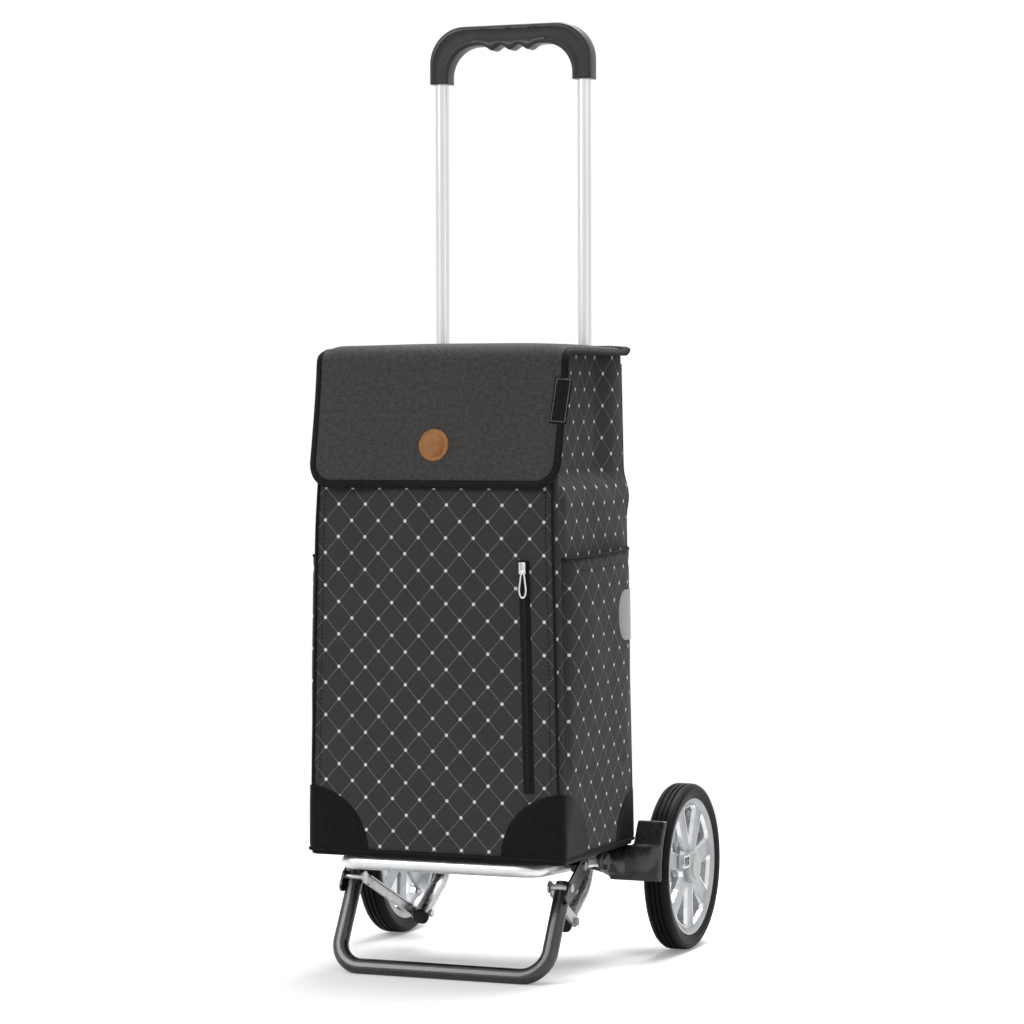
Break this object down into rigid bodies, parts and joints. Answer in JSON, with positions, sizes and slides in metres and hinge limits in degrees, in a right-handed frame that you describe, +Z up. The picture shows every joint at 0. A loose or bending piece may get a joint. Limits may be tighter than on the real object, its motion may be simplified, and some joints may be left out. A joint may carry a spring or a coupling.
{
  "type": "two-wheeled shopping trolley",
  "caption": "Folding two-wheeled shopping trolley: tall cloth bag with flap on a tube frame with pull-out handle, carrying bow, fold-down stand and spoked wheels.",
  "frame": {"origin": "centre of the overall box's footprint, on the floor that the wheels and the stand rest on", "axes": "+Z up, the bag's front faces -Y, the wheels turn about X"},
  "size_m": [0.4126, 0.4279, 1.113],
  "materials": {
    "aluminium_tube": "satin anodised",
    "bright_bow": "polished",
    "steel": "brushed",
    "chrome": "polished",
    "black_steel": "satin",
    "black_plastic": "satin moulded",
    "gloss_black": "gloss moulded",
    "grip_plastic": "fine texture",
    "bag_cloth": "woven with a white diamond pattern",
    "flap_cloth": "mottled weave",
    "black_tape": "woven tape",
    "patch_leather": "smooth artificial leather",
    "badge_leather": "tan leather",
    "reflector_film": "reflecting film",
    "tyre_rubber": "matt",
    "rim_plastic": "silver paint",
    "cap_grey": "satin"
  },
  "bodies": {
    "frame": {"side_tube_left": "aluminium_tube", "side_tube_right": "aluminium_tube", "tube_plug_left": "black_plastic", "tube_plug_right": "black_plastic", "brace_upper": "aluminium_tube", "brace_lower": "aluminium_tube", "wheel_axle": "steel", "axle_housing_left": "gloss_black", "axle_housing_right": "gloss_black", "clamp_collar_left": "black_plastic", "clamp_collar_right": "black_plastic", "clamp_pins": "steel", "bow_pins": "steel", "link_pins": "steel", "bag_shell": "bag_cloth", "bag_base": "patch_leather", "side_pocket_left": "bag_cloth", "side_pocket_right": "bag_cloth", "corner_patches": "patch_leather", "reflector_patches": "reflector_film", "bag_piping": "black_tape", "zip_tape": "black_tape", "hang_loops": "black_tape"},
    "flap": {"flap_panel": "flap_cloth", "flap_binding": "black_tape", "flap_badge": "badge_leather", "flap_label": "black_tape"},
    "zip_slider": {"zip_slider": "chrome"},
    "zip_pull": {"zip_pull": "chrome"},
    "handle": {"handle_grip": "grip_plastic", "slide_tube_left": "aluminium_tube", "slide_tube_right": "aluminium_tube", "tube_glides": "black_plastic", "grip_screws": "steel"},
    "clamp_lever_left": {"clamp_lever_left": "black_plastic"},
    "clamp_lever_right": {"clamp_lever_right": "black_plastic"},
    "carrying_bow": {"carrying_bow": "bright_bow"},
    "stand": {"stand_bow": "black_steel", "stand_plates": "black_steel", "stand_pivot_pins": "steel", "stand_link_rivets": "steel"},
    "link_left": {"link_left": "steel"},
    "link_right": {"link_right": "steel"},
    "wheel_left": {"tyre_left": "tyre_rubber", "rim_left": "rim_plastic", "bearings_left": "steel", "hub_cap_left": "cap_grey"},
    "wheel_right": {"tyre_right": "tyre_rubber", "rim_right": "rim_plastic", "bearings_right": "steel", "hub_cap_right": "cap_grey"},
    "hub_latch_left": {"hub_latch_left": "chrome"},
    "hub_latch_right": {"hub_latch_right": "chrome"}
  },
  "joints": [
    {"name": "handle_slide", "type": "slide", "parent": "frame", "child": "handle", "axis": [0, 0, 1], "range_m": [-0.29, 0]},
    {"name": "clamp_left", "type": "hinge", "parent": "frame", "child": "clamp_lever_left", "pos_m": [-0.0922, 0.059, 0.692], "axis": [1, 0, 0], "range_deg": [0, 95]},
    {"name": "clamp_right", "type": "hinge", "parent": "frame", "child": "clamp_lever_right", "pos_m": [0.0922, 0.059, 0.692], "axis": [1, 0, 0], "range_deg": [0, 95]},
    {"name": "flap_hinge", "type": "hinge", "parent": "frame", "child": "flap", "pos_m": [0, 0.021, 0.7224], "axis": [-1, 0, 0], "range_deg": [0, 80]},
    {"name": "zip_slide", "type": "slide", "parent": "frame", "child": "zip_slider", "axis": [0.0203, 0, -0.9998], "range_m": [0, 0.235]},
    {"name": "zip_pull_swing", "type": "hinge", "parent": "zip_slider", "child": "zip_pull", "pos_m": [0.11226, -0.211, 0.4686], "axis": [-0.9998, 0, -0.0203], "range_deg": [0, 120]},
    {"name": "bow_fold", "type": "hinge", "parent": "frame", "child": "carrying_bow", "pos_m": [0, -0.008, 0.1195], "axis": [-1, 0, 0], "range_deg": [0, 80], "deforming": ["bag_shell", "bag_base"]},
    {"name": "stand_fold", "type": "hinge", "parent": "carrying_bow", "child": "stand", "pos_m": [0, -0.099, 0.1241], "axis": [1, 0, 0], "range_deg": [0, 110]},
    {"name": "link_left_swing", "type": "hinge", "parent": "frame", "child": "link_left", "pos_m": [0, -0.0298, 0.04803], "axis": [-1, 0, 0], "range_deg": [0, 60]},
    {"name": "link_right_swing", "type": "hinge", "parent": "frame", "child": "link_right", "pos_m": [0, -0.0298, 0.04803], "axis": [-1, 0, 0], "range_deg": [0, 60]},
    {"name": "wheel_left_spin", "type": "hinge", "parent": "frame", "child": "wheel_left", "pos_m": [-0.18735, 0.114, 0.1], "axis": [1, 0, 0], "continuous": true},
    {"name": "wheel_right_spin", "type": "hinge", "parent": "frame", "child": "wheel_right", "pos_m": [0.18735, 0.114, 0.1], "axis": [1, 0, 0], "continuous": true},
    {"name": "latch_left", "type": "slide", "parent": "wheel_left", "child": "hub_latch_left", "axis": [0, 1, 0], "range_m": [0, 0.0025], "stiffness_N_per_m": 300, "springref_m": -0.002},
    {"name": "latch_right", "type": "slide", "parent": "wheel_right", "child": "hub_latch_right", "axis": [0, 1, 0], "range_m": [0, 0.0025], "stiffness_N_per_m": 300, "springref_m": -0.002}
  ],
  "couplings": [
    {"joint": "stand_fold", "follows": "bow_fold", "ratio": 1.34},
    {"joint": "link_left_swing", "follows": "bow_fold", "ratio": 0.72},
    {"joint": "link_right_swing", "follows": "bow_fold", "ratio": 0.72}
  ]
}
